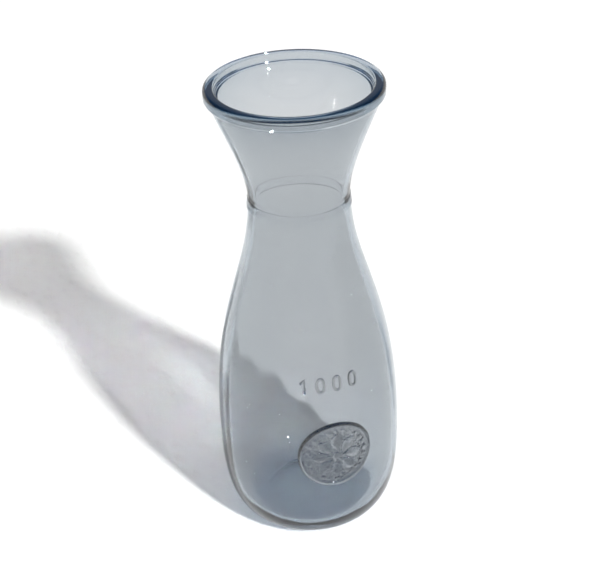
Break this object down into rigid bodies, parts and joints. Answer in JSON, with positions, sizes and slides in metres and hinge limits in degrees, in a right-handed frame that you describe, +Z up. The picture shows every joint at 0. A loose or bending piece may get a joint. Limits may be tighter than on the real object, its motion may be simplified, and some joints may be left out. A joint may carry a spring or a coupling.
{
  "type": "water carafe",
  "caption": "Clear faintly blue glass carafe with a round belly, a narrow ringed neck, a flared mouth with a lid recess, and a round seal on the front.",
  "frame": {"origin": "on the table, at the middle of the base, on the axis that the glass is turned round", "axes": "+Z up along that axis, towards the mouth; the seal is on the front, facing -Y; +X is to the right of a person facing the seal"},
  "size_m": [0.1032, 0.1048, 0.265],
  "materials": {
    "clear_glass": "fire-polished clear glass with a faint blue-grey tint"
  },
  "bodies": {
    "root": {"glass_body": "clear_glass", "seal_medallion": "clear_glass"}
  },
  "joints": []
}
